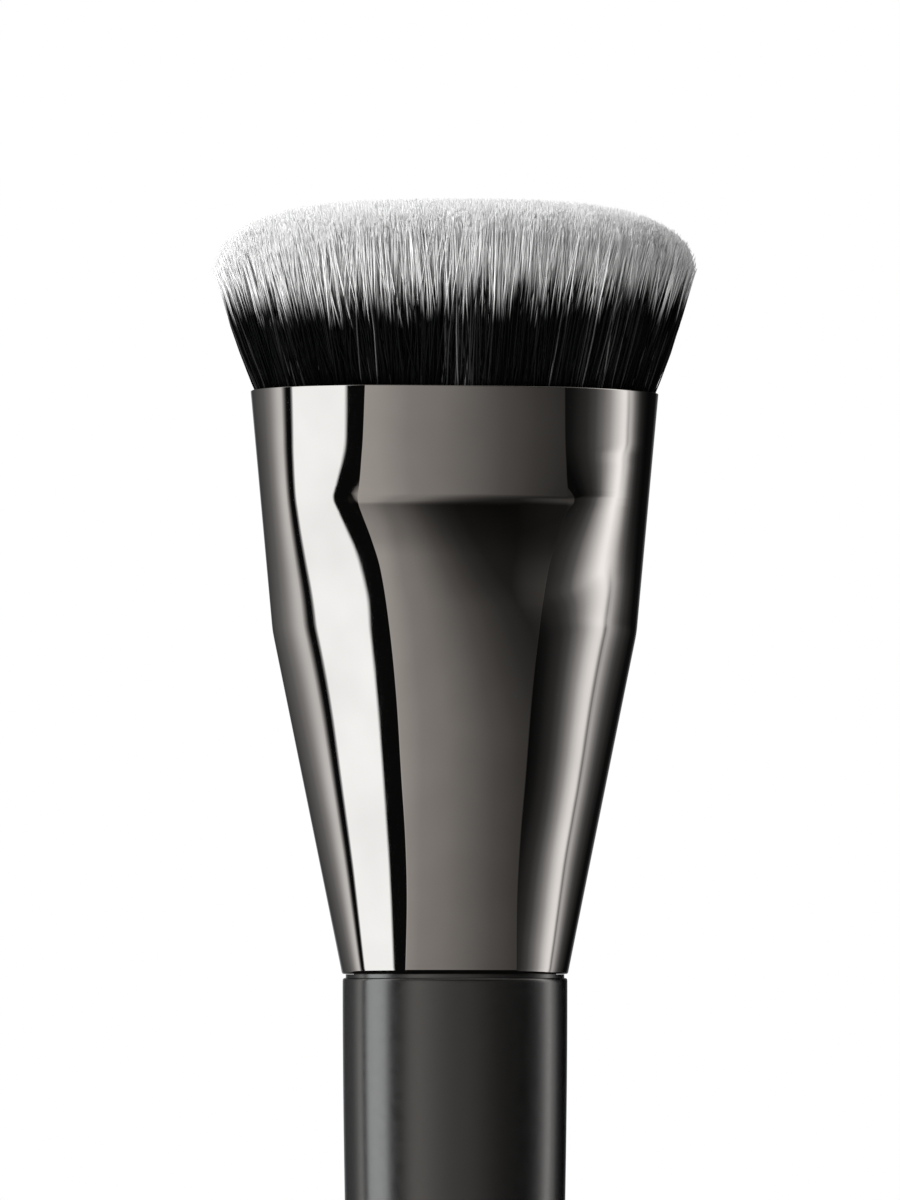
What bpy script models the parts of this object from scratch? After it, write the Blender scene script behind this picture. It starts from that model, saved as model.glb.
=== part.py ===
"""Contour brush: a dense, flared tuft in a sculpted metal ferrule, on a slim handle.

Metres, +Z up. The brush stands on the flat end of its handle, and the origin is the middle of that
end. The wide front faces -Y, and the back is the same as the front.
"""

import math
import random

import bmesh
import bpy
from mathutils import Vector

# Fits
FIT_GAP = 0.0003  # clearance that a glue line takes, all round
CUT_OVERRUN = 0.002  # how far a cutter runs past the face that it opens

# Handle
HANDLE_LENGTH = 0.1000  # flat end to shoulder
HANDLE_TOP_WIDTH = 0.0175
HANDLE_TOP_DEPTH = 0.0084
HANDLE_END_WIDTH = 0.0128
HANDLE_END_DEPTH = 0.0076
HANDLE_SECTION_SHARES = (0, 0.15, 0.3, 0.42, 0.54, 0.66, 0.78, 0.9, 1)  # of the way up
TENON_LENGTH = 0.0150

# Balance weight and end plug
WEIGHT_DIAMETER = 0.0044
WEIGHT_LENGTH = 0.0540
PLUG_FLANGE = 0.0020
PLUG_SPIGOT_LENGTH = 0.0050
PLUG_EDGE = 0.0006  # chamfer round the flat end

# Ferrule
FERRULE_HEIGHT = 0.0453
FERRULE_WALL = 0.0006
RIM_WIDTH = 0.0320
RIM_DEPTH = 0.0136
SHOULDER_DROP = 0.0187  # below the rim, where the sides turn in more steeply
SHOULDER_WIDTH = 0.02856
FOOT_WIDTH = 0.0176
FOOT_DEPTH = 0.0082
CREASE_DROP = 0.0087  # below the rim, where the facet's two panels meet
CREASE_DEPTH = 0.0113
BELLY_DROP = 0.0164  # below the rim, where the long panel stands out most
BELLY_DEPTH = 0.0127
FACET_CROWN_RADIUS = 0.0600  # the facets are very slightly rounded across

# Half the facet's width, in shares of half the rim's width, at shares of the way down a panel
SHORT_PANEL_SHARES = ((0.0, 0.481), (0.575, 0.486), (0.833, 0.503), (1.0, 0.520))
LONG_PANEL_SHARES = (
    (0.0, 0.520),
    (0.033, 0.488),
    (0.085, 0.440),
    (0.148, 0.403),
    (0.273, 0.362),
    (0.421, 0.325),
    (0.587, 0.299),
    (0.716, 0.277),
    (0.842, 0.268),
    (1.0, 0.274),
)
SHORT_SECTION_SHARES = (0, 0.5, 0.8, 1)  # of the way from the rim to the crease
SWELL_SECTION_SHARES = (0.14, 0.35, 0.65, 1)  # from the crease to the belly
FALL_SECTION_SHARES = (0, 0.2, 0.42, 0.65, 0.85, 1)  # from the shoulder to the foot
BELLY_EASE = 2.0  # how quickly the long panel swells below the crease
FOOT_EASE = 1.5  # how late it falls away to the foot
LOBE_START = math.radians(30)  # where on its ellipse a lobe leaves the facet

# Cup, resin and core
CUP_DROP = 0.0038  # lip of the cup below the rim
CUP_HEIGHT = 0.0100
CUP_WALL = 0.0005
CORE_HEIGHT = 0.0220
CORE_SECTION_SHARE = 0.5  # where the core has one more section, from its bottom to the shoulder

# Tuft
HAIR_LENGTH = 0.0154  # rim to the top of the dome
TUFT_WIDTH = 0.0378
TUFT_DEPTH = 0.0172
TRIM_DROP = 0.0058  # how far the trimmed dome falls from its middle to its edge
TRIM_POWER = 3.0  # roundness of the dome's edge
ROOT_DROP = 0.0010  # top of the root slice below the rim
ROOT_SLICE = 0.0025
TIP_SCATTER = 0.0004
STRAND_COLUMNS = 34
STRAND_ROWS = 13
ROOT_WIDTH_SHARE = 0.62  # of a strand's cell
TIP_WIDTH_SHARE = 0.52
STAGGER_SHARE = 0.17  # how far strands stand to one side in their cells, by turns

# Facets of the solids
ROUND_SIDES = 32
OVAL_SIDES = 40
FACET_STEPS = 2  # in half a facet
LOBE_STEPS = 7
HANDLE_POWER = 2.5  # 2 is an ellipse, and more is squarer

FERRULE_FOOT = HANDLE_LENGTH + FIT_GAP
RIM = FERRULE_FOOT + FERRULE_HEIGHT


def ease_through(knots, place):
    """The value at a place along a smooth curve through (place, value) knots."""
    last = len(knots) - 1
    i = 0
    while i < last - 1 and place > knots[i + 1][0]:
        i += 1
    (x0, y0), (x1, y1) = knots[i], knots[i + 1]

    def slope(k):
        lower, upper = knots[max(k - 1, 0)], knots[min(k + 1, last)]
        return (upper[1] - lower[1]) / (upper[0] - lower[0])

    span = x1 - x0
    t = (place - x0) / span
    start = (2 * t**3 - 3 * t**2 + 1) * y0 + (t**3 - 2 * t**2 + t) * span * slope(i)
    end = (3 * t**2 - 2 * t**3) * y1 + (t**3 - t**2) * span * slope(i + 1)
    return start + end


def mix(a, b, t):
    return a + (b - a) * t


# Ferrule's sizes at a drop below the rim


def ferrule_half_width(drop):
    if drop < SHOULDER_DROP:
        return mix(RIM_WIDTH, SHOULDER_WIDTH, drop / SHOULDER_DROP) / 2
    t = (drop - SHOULDER_DROP) / (FERRULE_HEIGHT - SHOULDER_DROP)
    return mix(SHOULDER_WIDTH, FOOT_WIDTH, t) / 2


def ferrule_half_depth(drop):
    """Axis to the middle of the facet."""
    if drop < CREASE_DROP:
        return mix(RIM_DEPTH, CREASE_DEPTH, drop / CREASE_DROP) / 2
    if drop < BELLY_DROP:
        t = (drop - CREASE_DROP) / (BELLY_DROP - CREASE_DROP)
        return mix(CREASE_DEPTH, BELLY_DEPTH, 1 - (1 - t) ** BELLY_EASE) / 2
    t = (drop - BELLY_DROP) / (FERRULE_HEIGHT - BELLY_DROP)
    return mix(BELLY_DEPTH, FOOT_DEPTH, t**FOOT_EASE) / 2


def facet_half_width(drop):
    if drop < CREASE_DROP:
        share = ease_through(SHORT_PANEL_SHARES, drop / CREASE_DROP)
    else:
        t = (drop - CREASE_DROP) / (FERRULE_HEIGHT - CREASE_DROP)
        share = ease_through(LONG_PANEL_SHARES, t)
    return share * RIM_WIDTH / 2


def ferrule_outline(drop):
    """The closed outline of the ferrule's outside: a crowned facet and two lobes, front and back."""
    wide, deep, facet = ferrule_half_width(drop), ferrule_half_depth(drop), facet_half_width(drop)
    crown = FACET_CROWN_RADIUS - math.sqrt(FACET_CROWN_RADIUS**2 - facet**2)
    quarter = []  # from the middle of the back facet towards +X
    for i in range(FACET_STEPS):
        t = i / FACET_STEPS
        quarter.append((facet * t, deep - crown * t**2))
    for i in range(LOBE_STEPS):
        angle = mix(LOBE_START, math.pi / 2, i / LOBE_STEPS)
        across = (math.sin(angle) - math.sin(LOBE_START)) / (1 - math.sin(LOBE_START))
        out = (deep - crown) * math.cos(angle) / math.cos(LOBE_START)
        quarter.append((mix(facet, wide, across), out))
    front = [(x, -y) for x, y in reversed(quarter)]
    half = [*quarter, (wide, 0), *front]
    return half + [(-x, y) for x, y in reversed(half[1:-1])]


def oval(half_width, half_depth, power=2):
    """An ellipse, or a squarer oval for a power above 2, in the order of ferrule_outline."""
    points = []
    for i in range(OVAL_SIDES):
        angle = math.tau * i / OVAL_SIDES
        x, y = math.sin(angle), math.cos(angle)
        points.append(
            (
                half_width * math.copysign(abs(x) ** (2 / power), x),
                half_depth * math.copysign(abs(y) ** (2 / power), y),
            )
        )
    return points


# Scene, materials and objects


def clear_scene():
    for item in list(bpy.data.objects):
        bpy.data.objects.remove(item, do_unlink=True)


def new_collection(name, hidden=False):
    collection = bpy.data.collections.new(name)
    collection.hide_render = hidden
    bpy.context.scene.collection.children.link(collection)
    return collection


def new_material(name, colour, roughness, metallic=0.0):
    material = bpy.data.materials.new(name)
    material.use_nodes = True
    shader = material.node_tree.nodes["Principled BSDF"]
    shader.inputs["Base Color"].default_value = (*colour, 1.0)
    shader.inputs["Roughness"].default_value = roughness
    shader.inputs["Metallic"].default_value = metallic
    return material


def add_object(name, bm, collection, material=None, smooth=True):
    mesh = bpy.data.meshes.new(name)
    bm.to_mesh(mesh)
    bm.free()
    if smooth:
        mesh.shade_smooth()
        mesh.set_sharp_from_angle(angle=math.radians(25))
    if material:
        mesh.materials.append(material)
    item = bpy.data.objects.new(name, mesh)
    collection.objects.link(item)
    return item


def loft(sections, cap_first=True, cap_last=True):
    """A skin through sections, which are (height, outline) from the bottom up."""
    bm = bmesh.new()
    rings = []
    for height, outline in sections:
        rings.append([bm.verts.new((x, y, height)) for x, y in outline])
    count = len(rings[0])
    for lower, upper in zip(rings, rings[1:]):
        for i in range(count):
            j = (i + 1) % count
            bm.faces.new((lower[j], lower[i], upper[i], upper[j]))
    if cap_first:
        bm.faces.new(rings[0])
    if cap_last:
        bm.faces.new(rings[-1][::-1])
    return bm


def cut(item, cutter):
    cutter.display_type = "WIRE"
    cutter.hide_render = True
    modifier = item.modifiers.new("cut", "BOOLEAN")
    modifier.operation = "DIFFERENCE"
    modifier.solver = "EXACT"
    modifier.object = cutter


def add_rod(name, radius, bottom, top, collection, material=None):
    bm = bmesh.new()
    bmesh.ops.create_cone(
        bm, cap_ends=True, segments=ROUND_SIDES, radius1=radius, radius2=radius, depth=top - bottom
    )
    bmesh.ops.translate(bm, verts=bm.verts, vec=(0, 0, (bottom + top) / 2))
    return add_object(name, bm, collection, material)


# Ferrule


def ferrule_drops():
    """Drops of the sections, closer where the facet turns."""
    short = [CREASE_DROP * t for t in SHORT_SECTION_SHARES]
    swell = [mix(CREASE_DROP, BELLY_DROP, t) for t in SWELL_SECTION_SHARES]
    fall = [mix(SHOULDER_DROP, FERRULE_HEIGHT, t) for t in FALL_SECTION_SHARES]
    return short + swell + fall


def make_ferrule(parts):
    sections = [(RIM - drop, ferrule_outline(drop)) for drop in reversed(ferrule_drops())]
    gunmetal = new_material("polished_gunmetal", (0.115, 0.112, 0.105), 0.14, 1.0)
    ferrule = add_object("ferrule", loft(sections, False, False), parts, gunmetal)
    shell = ferrule.modifiers.new("wall", "SOLIDIFY")
    shell.thickness = FERRULE_WALL
    shell.offset = -1


# Pieces inside the ferrule


def inner_half_width(drop):
    return ferrule_half_width(drop) - FERRULE_WALL - FIT_GAP


def inner_half_depth(drop):
    """The room inside, no deeper below the crease than what can pass it."""
    open_depth = ferrule_half_depth(min(drop, CREASE_DROP))
    return min(open_depth, ferrule_half_depth(drop)) - FERRULE_WALL - FIT_GAP


def inner_oval(drop, inset=0.0):
    return oval(inner_half_width(drop) - inset, inner_half_depth(drop) - inset)


def make_hair_cup(parts):
    drops = (CUP_DROP + CUP_HEIGHT, CREASE_DROP, CUP_DROP)
    sections = [(RIM - drop, inner_oval(drop)) for drop in drops]
    aluminium = new_material("drawn_aluminium", (0.62, 0.63, 0.64), 0.35, 0.9)
    cup = add_object("hair_cup", loft(sections, cap_last=False), parts, aluminium)
    shell = cup.modifiers.new("wall", "SOLIDIFY")
    shell.thickness = CUP_WALL
    shell.offset = -1


def make_resin_plug(parts):
    inset = CUP_WALL + FIT_GAP
    top = ROOT_DROP + ROOT_SLICE + FIT_GAP
    bottom = CUP_DROP + CUP_HEIGHT - inset
    sections = [(RIM - drop, inner_oval(drop, inset)) for drop in (bottom, CREASE_DROP, top)]
    resin = new_material("set_resin", (0.06, 0.05, 0.04), 0.5)
    add_object("resin_plug", loft(sections), parts, resin)


def make_ferrule_core(parts, cutters):
    top = CUP_DROP + CUP_HEIGHT + FIT_GAP
    bottom = top + CORE_HEIGHT
    drops = (bottom, mix(bottom, SHOULDER_DROP, CORE_SECTION_SHARE), SHOULDER_DROP, top)
    sections = [(RIM - drop, inner_oval(drop)) for drop in drops]
    moulded = new_material("moulded_carrier", (0.10, 0.10, 0.11), 0.6)
    core = add_object("ferrule_core", loft(sections), parts, moulded)
    pocket = oval(*tenon_half_sizes(FIT_GAP))
    ends = (RIM - bottom - CUT_OVERRUN, HANDLE_LENGTH + TENON_LENGTH + FIT_GAP)
    cut(core, add_object("pocket_cutter", loft([(z, pocket) for z in ends]), cutters))


# Handle


def tenon_half_sizes(clearance=0.0):
    """The tenon passes the ferrule's foot, which is its narrowest place."""
    foot_wide, foot_deep = ferrule_half_width(FERRULE_HEIGHT), ferrule_half_depth(FERRULE_HEIGHT)
    inset = FERRULE_WALL + FIT_GAP - clearance
    return foot_wide - inset, foot_deep - inset


def handle_outline(height, inset=0.0):
    t = height / HANDLE_LENGTH
    swell = 3 * t**2 - 2 * t**3
    wide = mix(HANDLE_END_WIDTH, HANDLE_TOP_WIDTH, swell) / 2 - inset
    deep = mix(HANDLE_END_DEPTH, HANDLE_TOP_DEPTH, swell) / 2 - inset
    return oval(wide, deep, HANDLE_POWER)


def make_handle_shell(parts, cutters):
    bottom = PLUG_FLANGE + FIT_GAP
    heights = [mix(bottom, HANDLE_LENGTH, t) for t in HANDLE_SECTION_SHARES]
    sections = [(z, handle_outline(z)) for z in heights]
    tenon = oval(*tenon_half_sizes())
    sections += [(HANDLE_LENGTH, tenon), (HANDLE_LENGTH + TENON_LENGTH, tenon)]
    black = new_material("satin_black_lacquer", (0.012, 0.012, 0.013), 0.42)
    handle = add_object("handle_shell", loft(sections), parts, black)
    radius = WEIGHT_DIAMETER / 2 + FIT_GAP
    bore_end = weight_bottom() + WEIGHT_LENGTH + FIT_GAP
    cut(handle, add_rod("bore_cutter", radius, bottom - CUT_OVERRUN, bore_end, cutters))


def weight_bottom():
    return PLUG_FLANGE + PLUG_SPIGOT_LENGTH + FIT_GAP


def make_balance_weight(parts):
    steel = new_material("turned_steel", (0.45, 0.45, 0.46), 0.35, 0.9)
    bottom = weight_bottom()
    add_rod("balance_weight", WEIGHT_DIAMETER / 2, bottom, bottom + WEIGHT_LENGTH, parts, steel)


def make_end_plug(parts):
    spigot = oval(WEIGHT_DIAMETER / 2, WEIGHT_DIAMETER / 2)
    sections = [
        (0, handle_outline(0, PLUG_EDGE)),
        (PLUG_EDGE, handle_outline(PLUG_EDGE)),
        (PLUG_FLANGE, handle_outline(PLUG_FLANGE)),
        (PLUG_FLANGE, spigot),
        (PLUG_FLANGE + PLUG_SPIGOT_LENGTH, spigot),
    ]
    black = new_material("moulded_black_plug", (0.014, 0.014, 0.015), 0.45)
    add_object("end_plug", loft(sections), parts, black)


# Bristle tuft


def in_oval(u, v, half_width, half_depth):
    """Where a point of the square from -1 to 1 lies in the oval."""
    return half_width * u * math.sqrt(1 - v * v / 2), half_depth * v * math.sqrt(1 - u * u / 2)


def tip_reach(count):
    """How near to 1 the outermost of a count of strands comes at its tip."""
    return 1 - (1 - TIP_WIDTH_SHARE - 2 * STAGGER_SHARE) / count


def dome_height(u, v):
    """Height of the trimmed dome above the rim."""
    out = math.hypot(*in_oval(u, v, 1, 1))
    return HAIR_LENGTH - TRIM_DROP * (1 - math.sqrt(max(1 - out**TRIM_POWER, 0)))


def tuft_point(u, v, grown):
    """A point of the hair from the root slice, grown 0, to the dome, grown 1: it fans out in lines."""
    root = in_oval(u, v, inner_half_width(ROOT_DROP), inner_half_depth(ROOT_DROP))
    half_width = TUFT_WIDTH / 2 / tip_reach(STRAND_COLUMNS)
    half_depth = TUFT_DEPTH / 2 / tip_reach(STRAND_ROWS)
    tip = in_oval(u, v, half_width, half_depth)
    bottom = Vector((*root, RIM - ROOT_DROP))
    return bottom.lerp(Vector((*tip, RIM + dome_height(u, v))), grown)


def side_of(place, count):
    """1 or -1 by turns over the rows that split -1 to 1 into a count."""
    return 1 if math.floor((place + 1) / 2 * count) % 2 else -1


def raise_strands(bm, cells):
    """Grows one four-sided strand in each cell of the square from -1 to 1, staggered both ways."""
    chance = random.Random(7)
    for cell in cells:
        middle = cell.calc_center_median()
        stagger = Vector(
            (
                side_of(middle.y, STRAND_ROWS) * STAGGER_SHARE * 2 / STRAND_COLUMNS,
                side_of(middle.x, STRAND_COLUMNS) * STAGGER_SHARE * 2 / STRAND_ROWS,
                0,
            )
        )
        corners = [vert.co + stagger for vert in cell.verts]
        middle += stagger
        bmesh.ops.inset_individual(bm, faces=[cell], thickness=0)
        for vert, corner in zip(cell.verts, corners):
            vert.co = middle.lerp(corner, ROOT_WIDTH_SHARE)
        tip = bmesh.ops.extrude_discrete_faces(bm, faces=[cell])["faces"][0]
        grown = 1 - TIP_SCATTER / HAIR_LENGTH * chance.random()
        for vert, corner in zip(tip.verts, corners):
            vert.co = (*middle.lerp(corner, TIP_WIDTH_SHARE).xy, grown)


def make_bristle_tuft(parts):
    bm = bmesh.new()
    bmesh.ops.create_grid(bm, x_segments=STRAND_COLUMNS, y_segments=STRAND_ROWS, size=1)
    raise_strands(bm, list(bm.faces))
    for vert in bm.verts:
        vert.co = tuft_point(*vert.co)
    outline = [edge for edge in bm.edges if edge.is_boundary]
    wall = bmesh.ops.extrude_edge_only(bm, edges=outline)["geom"]
    bottom_drop = ROOT_DROP + ROOT_SLICE
    wide = inner_half_width(bottom_drop) / inner_half_width(ROOT_DROP)
    deep = inner_half_depth(bottom_drop) / inner_half_depth(ROOT_DROP)
    for vert in wall:
        if isinstance(vert, bmesh.types.BMVert):
            vert.co = (vert.co.x * wide, vert.co.y * deep, RIM - bottom_drop)
    bmesh.ops.contextual_create(bm, geom=[edge for edge in bm.edges if edge.is_boundary])
    bmesh.ops.recalc_face_normals(bm, faces=bm.faces)
    bristle = new_material("two_tone_bristle", (0.30, 0.30, 0.30), 0.6)
    add_object("bristle_tuft", bm, parts, bristle, smooth=False)


def main():
    clear_scene()
    parts = new_collection("contour_brush")
    cutters = new_collection("cutters", hidden=True)
    make_bristle_tuft(parts)
    make_resin_plug(parts)
    make_hair_cup(parts)
    make_ferrule(parts)
    make_ferrule_core(parts, cutters)
    make_handle_shell(parts, cutters)
    make_balance_weight(parts)
    make_end_plug(parts)


main()
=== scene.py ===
# Contour brush: a dense two-tone tuft in a polished gunmetal ferrule, on a satin black handle.
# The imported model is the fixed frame. Metres, +Z up, and the wide front faces -Y.
import math
import re
from functools import partial

import bpy
import numpy as np
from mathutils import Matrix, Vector


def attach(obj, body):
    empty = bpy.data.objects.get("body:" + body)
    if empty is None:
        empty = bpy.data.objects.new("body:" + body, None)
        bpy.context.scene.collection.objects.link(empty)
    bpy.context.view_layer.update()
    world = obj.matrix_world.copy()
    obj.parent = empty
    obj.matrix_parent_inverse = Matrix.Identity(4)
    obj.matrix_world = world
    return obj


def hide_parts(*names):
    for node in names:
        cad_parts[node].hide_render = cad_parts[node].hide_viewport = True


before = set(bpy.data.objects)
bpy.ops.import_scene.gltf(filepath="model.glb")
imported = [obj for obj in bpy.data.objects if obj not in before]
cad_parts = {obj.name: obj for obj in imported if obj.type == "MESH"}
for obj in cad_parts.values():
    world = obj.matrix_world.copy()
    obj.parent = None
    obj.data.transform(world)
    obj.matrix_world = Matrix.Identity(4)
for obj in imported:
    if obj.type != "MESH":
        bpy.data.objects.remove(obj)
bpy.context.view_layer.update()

mm = 0.001
print("frame loaded:", ", ".join(sorted(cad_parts)))


# Small helpers

def hexColour(code):  # sRGB hex to the linear colour that a socket takes
    levels = [int(code[i:i + 2], 16) / 255 for i in (1, 3, 5)]
    return (*[v / 12.92 if v <= 0.04045 else ((v + 0.055) / 1.055) ** 2.4 for v in levels], 1.0)


def mix(a, b, t):
    return a + (b - a) * t


def socketOf(source):  # a node stands for its first output
    return source.outputs[0] if isinstance(source, bpy.types.Node) else source


def addNode(tree, kind, inputs=None, **settings):  # an input takes a value, a socket or a node
    node = tree.nodes.new(kind)
    for name, value in settings.items():
        setattr(node, name, value)
    for key, value in (inputs or {}).items():
        value = socketOf(value)
        if isinstance(value, bpy.types.NodeSocket):
            tree.links.new(value, node.inputs[key])
        else:
            node.inputs[key].default_value = value
    return node


def feed(node, **sources):  # links into a node that is there already, with _ for a space
    for name, source in sources.items():
        node.id_data.links.new(socketOf(source), node.inputs[name.replace("_", " ")])


def setStops(node, stops):  # stops are (place, colour) from left to right, in hex or linear colours
    elements = node.color_ramp.elements
    while len(elements) > 1:
        elements.remove(elements[-1])
    for i, (place, colour) in enumerate(stops):
        stop = elements.new(place) if i else elements[0]
        stop.position = place
        stop.color = hexColour(colour) if isinstance(colour, str) else colour
    return node


def newMaterial(name, **constants):  # constants go on the shader's own sockets, with _ for a space
    material = bpy.data.materials.new(name)
    material.use_nodes = True
    shader = material.node_tree.nodes["Principled BSDF"]
    for socket, value in constants.items():
        shader.inputs[socket.replace("_", " ")].default_value = value
    return material, partial(addNode, material.node_tree), shader


def grainOf(add, size, detail=2.0):  # noise whose grain has this size in millimetres along each axis
    place = add("ShaderNodeTexCoord").outputs["Object"]
    scaled = add("ShaderNodeMapping", {"Vector": place, "Scale": [1 / (side * mm) for side in size]})
    return add("ShaderNodeTexNoise", {"Vector": scaled, "Scale": 1.0, "Detail": detail})


# A finish whose colour, roughness and bump follow one grain. The bump is (strength, height in millimetres),
# and cloud is the grain size of a slow change of colour, where that isn't the grain's own
def grainedFinish(name, size, detail, colours, roughness, bump, cloud=None, **constants):
    material, add, shader = newMaterial(name, **constants)
    grain = grainOf(add, size, detail)
    tone = add("ShaderNodeValToRGB", {"Fac": grainOf(add, cloud) if cloud else grain})
    setStops(tone, [(0.3, colours[0]), (0.7, colours[1])])
    rough = add("ShaderNodeMapRange", {"Value": grain, "From Min": 0.3, "From Max": 0.7,
                                       "To Min": roughness[0], "To Max": roughness[1]})
    raised = add("ShaderNodeBump", {"Height": grain, "Strength": bump[0], "Distance": bump[1] * mm})
    feed(shader, Base_Color=tone, Roughness=rough, Normal=raised)
    return material


def addPiece(name, mesh):
    piece = bpy.data.objects.new(name, mesh)
    bpy.context.scene.collection.objects.link(piece)
    return piece


def settle(piece, slot, *replaced):  # every piece belongs to the one body
    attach(piece, "root")
    if replaced:
        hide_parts(*replaced)


def titleOf(key):  # the name that a tree's input has for a dictionary's key, as "Root Inward" for rootInward
    return re.sub("([A-Z])", r" \1", key).title()


def newTree(name, inputs):  # inputs are (name, kind of value)
    tree = bpy.data.node_groups.new(name, "GeometryNodeTree")
    for title, kind in inputs:
        tree.interface.new_socket(title, in_out="INPUT", socket_type="NodeSocket" + kind)
    tree.interface.new_socket("Geometry", in_out="OUTPUT", socket_type="NodeSocketGeometry")
    add = partial(addNode, tree)
    return tree, add, add("NodeGroupInput").outputs


def meshFromNodes(name, tree, values):
    piece = addPiece(name, bpy.data.meshes.new(name))
    modifier = piece.modifiers.new("shape", "NODES")
    modifier.node_group = tree
    for item in tree.interface.items_tree:
        if item.in_out == "INPUT":
            modifier[item.identifier] = values[item.name]
    graph = bpy.context.evaluated_depsgraph_get()
    mesh = bpy.data.meshes.new_from_object(piece.evaluated_get(graph))
    piece.modifiers.remove(modifier)
    piece.data = mesh
    mesh.name = name
    return piece


# Camera: square to the wide front but for a few degrees, at the height of the handle's shoulder

cameraPlace = {
    "azimuth": -7.0,  # degrees, to the left of the front
    "distance": 530.0,  # mm from the brush's axis
    "height": 100.3,
    "aimAcross": -0.4,
    "aimHeight": 129.4,
    "frameHeight": 93.5,  # mm that the frame's long side takes in at the axis
}


def makeCamera():
    place = cameraPlace
    turn = math.radians(place["azimuth"])
    eye = Vector((math.sin(turn), -math.cos(turn), 0)) * place["distance"] * mm
    eye.z = place["height"] * mm
    aim = Vector((place["aimAcross"] * mm, 0, place["aimHeight"] * mm))
    data = bpy.data.cameras.new("camera")
    data.lens = data.sensor_width * (aim - eye).length / (place["frameHeight"] * mm)
    camera = bpy.data.objects.new("camera", data)
    camera.location = eye
    camera.rotation_euler = (aim - eye).to_track_quat("-Z", "Y").to_euler()
    bpy.context.scene.collection.objects.link(camera)
    bpy.context.scene.camera = camera


makeCamera()
bpy.context.scene.view_settings.view_transform = "Standard"


# Studio: a pale floor, a white surround, soft lamps, and a ring of cards for the metal to mirror

studio = {
    "ambient": 0.40,
    "floorRadius": 2.0,  # metres
    "floorColour": "#e4e4e2",
    "floorFade": (0.30, 1.10),  # metres from the brush over which the floor goes white
    "ringRadius": 0.34,
    "skirtHeight": 0.002,
    "ringHeight": 0.52,
    "ringLevel": 3.6,  # of the brightest card
    "boxTint": (0.905, 0.985, 1.045), "cardTint": (0.96, 1.0, 1.04),
    "skirtColours": ((0.3, "#101010"), (0.7, "#161616")), "skirtFar": "#606060",
    "skirtFade": 0.2,  # metres behind the brush over which the cloth goes grey
    "lampAim": 0.13,  # metres above the floor
}

# Cards round the ring: degrees from the front, positive to the right, and brightness
ringCards = (
    (-180, 0.10), (-168, 0.10), (-158, 0.03), (-150, 0.032), (-135, 0.052), (-120, 0.075),  # dim wash behind
    (-105, 0.107), (-93, 0.18), (-88, 0.243), (-83, 0.345), (-79, 0.445), (-75, 0.53),  # soft left card
    (-71.7, 0.53), (-69.1, 0.215), (-67.4, 0.062), (-66, 0.003), (-60.6, 0.003),  # its edge, and a thin flag
    (-60.1, 1.0), (-30.3, 1.0), (-29.7, 0.003), (105, 0.0025), (132, 0.004),  # the white box, then black
    (145, 0.035), (158, 0.075), (170, 0.10), (180, 0.10),  # and the dim wash again
)
# The right strip's brightness by degrees, low on the ring (with a seam in it) and higher up
rightStripLow = (
    (35, 0.0), (41, 0.007), (47, 0.023), (51, 0.054), (55, 0.138), (59, 0.28), (63, 0.52), (67, 0.70),
    (70, 0.76), (72, 0.70), (73.6, 0.36), (75.2, 0.15), (76.6, 0.34), (79, 0.388), (81, 0.30), (83, 0.228),
    (86, 0.146), (91, 0.067), (96, 0.037), (106, 0.015), (121, 0.0),
)
rightStripHigh = (
    (35, 0.0), (47, 0.019), (51, 0.037), (55, 0.088), (59, 0.28), (63, 0.54), (67, 0.83), (69, 0.95),
    (71, 0.98), (73, 0.87), (77, 0.62), (81, 0.31), (83, 0.18), (86, 0.092), (91, 0.031), (96, 0.013),
    (106, 0.005), (121, 0.0),
)
stripChange = ((0.104, 0.0), (0.128, 1.0))  # height on the ring over which the first gives way to the second
stripSlide = (  # degrees by which the strip leans to the left, at heights on the ring
    (0.040, 7.8), (0.048, 6.0), (0.053, 4.6), (0.058, 3.0), (0.065, 1.8), (0.075, 1.0), (0.100, 1.0),
    (0.108, 1.2), (0.1125, 1.8), (0.116, 2.8), (0.120, 4.0), (0.1245, 5.4), (0.128, 6.6), (0.132, 7.6),
    (0.14, 8.2), (0.16, 8.2),
)
# The front card's brightness by degrees at the height where it is widest
frontCard = (
    (-19, 0.0), (-12, 0.36), (-8, 0.34), (-4, 0.295), (0, 0.203), (4, 0.172), (8, 0.122), (12, 0.073),
    (16, 0.044), (20, 0.026), (26, 0.013), (40, 0.007), (60, 0.005),
)
frontNarrowing = {"pivot": -9.0, "from": 0.085, "perMetre": 6.6}  # the card narrows with height
# Height on the ring in metres, and share of the front card's brightness left
frontFall = ((0.0, 1.0), (0.205, 1.0), (0.238, 0.70), (0.274, 0.45), (0.33, 0.30))
frontReach = (-20, 31)  # degrees within which the front card stands before the rest
frontEdgeGlow = ((14, 0.008), (17, 0.024), (21, 0.038), (25, 0.042), (31, 0.038))  # spill at its right edge
edgeGlowFall = ((0.0, 0.5), (0.08, 0.5), (0.10, 0.38), (0.125, 0.6), (0.14, 1.0), (0.165, 1.05), (0.19, 0.75),
                (0.21, 0.45), (0.235, 0.22), (0.27, 0.2), (0.33, 0.16))

lamps = {  # azimuth and elevation in degrees, distance and size in metres, power in watts
    "keyLamp": {"azimuth": -68, "elevation": 26, "distance": 0.9, "size": 0.45, "power": 10.6},
    "fillLamp": {"azimuth": 40, "elevation": 15, "distance": 1.1, "size": 0.7, "power": 1.2},
    "backLamp": {"azimuth": 172, "elevation": 42, "distance": 1.0, "size": 0.6, "power": 4.8},
}


def seenStraight(add):  # 1 for what the camera, gloss or glass sees, and 0 for what only lights the object
    path = add("ShaderNodeLightPath").outputs
    seen = add("ShaderNodeMath", {0: path["Is Camera Ray"], 1: path["Is Glossy Ray"]}, operation="MAXIMUM")
    return add("ShaderNodeMath", {0: seen, 1: path["Is Transmission Ray"]}, operation="MAXIMUM")


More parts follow.
